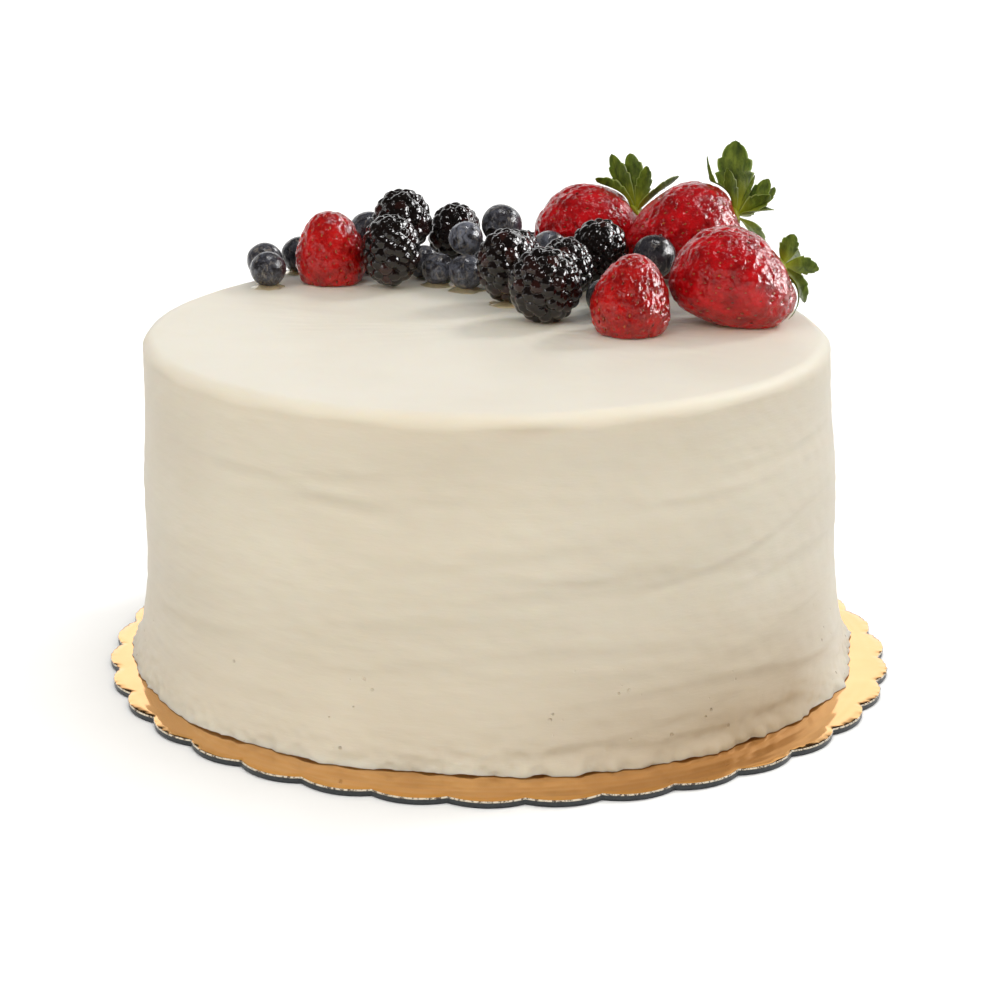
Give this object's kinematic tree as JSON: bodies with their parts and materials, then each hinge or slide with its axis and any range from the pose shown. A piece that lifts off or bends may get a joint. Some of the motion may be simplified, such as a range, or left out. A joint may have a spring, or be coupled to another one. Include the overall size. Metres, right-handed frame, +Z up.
{
  "type": "berry chantilly cake",
  "caption": "Round layer cake in smooth white frosting on a scalloped gold foil cake board, its top edged with a crescent of glazed strawberries, brambles and blueberries.",
  "frame": {"origin": "The centre of the flat underside of the cake board.", "axes": "+Z up through the cake, +X to the right as the berries' open side is faced, so the crescent of berries lies along the back (+Y) and comes forward along the right (+X)."},
  "size_m": [0.2537, 0.2537, 0.1573],
  "materials": {
    "gold_foil": "gold foil laminated on card, shiny, with fine concentric grooves",
    "frosting": "smooth whipped cream frosting, off-white, satin",
    "strawberry_skin": "deep red, seeded, under a clear glaze",
    "leaf": "olive green leaf, paler at the edges",
    "bramble_skin": "near black purple drupelets under a clear glaze",
    "blueberry_skin": "slate blue with a dusty bloom under a clear glaze"
  },
  "bodies": {
    "root": {"cake_board": "gold_foil", "frosted_cake": "frosting", "strawberry_front": "strawberry_skin", "calyx_front": "leaf", "strawberry_back": "strawberry_skin", "calyx_back": "leaf", "strawberry_middle": "strawberry_skin", "calyx_middle": "leaf", "hulled_strawberry_left": "strawberry_skin", "hulled_strawberry_right": "strawberry_skin", "bramble_1": "bramble_skin", "bramble_2": "bramble_skin", "bramble_3": "bramble_skin", "bramble_4": "bramble_skin", "bramble_5": "bramble_skin", "bramble_6": "bramble_skin", "bramble_7": "bramble_skin", "bramble_8": "bramble_skin", "blueberry_1": "blueberry_skin", "blueberry_2": "blueberry_skin", "blueberry_3": "blueberry_skin", "blueberry_4": "blueberry_skin", "blueberry_5": "blueberry_skin", "blueberry_6": "blueberry_skin", "blueberry_7": "blueberry_skin", "blueberry_8": "blueberry_skin", "blueberry_9": "blueberry_skin", "blueberry_10": "blueberry_skin", "blueberry_11": "blueberry_skin", "blueberry_12": "blueberry_skin", "blueberry_13": "blueberry_skin", "blueberry_14": "blueberry_skin", "blueberry_15": "blueberry_skin", "blueberry_16": "blueberry_skin", "blueberry_17": "blueberry_skin", "blueberry_18": "blueberry_skin", "blueberry_19": "blueberry_skin", "blueberry_20": "blueberry_skin", "bramble_9": "bramble_skin", "blueberry_21": "blueberry_skin", "blueberry_22": "blueberry_skin", "blueberry_23": "blueberry_skin", "blueberry_24": "blueberry_skin", "blueberry_25": "blueberry_skin"}
  },
  "joints": []
}
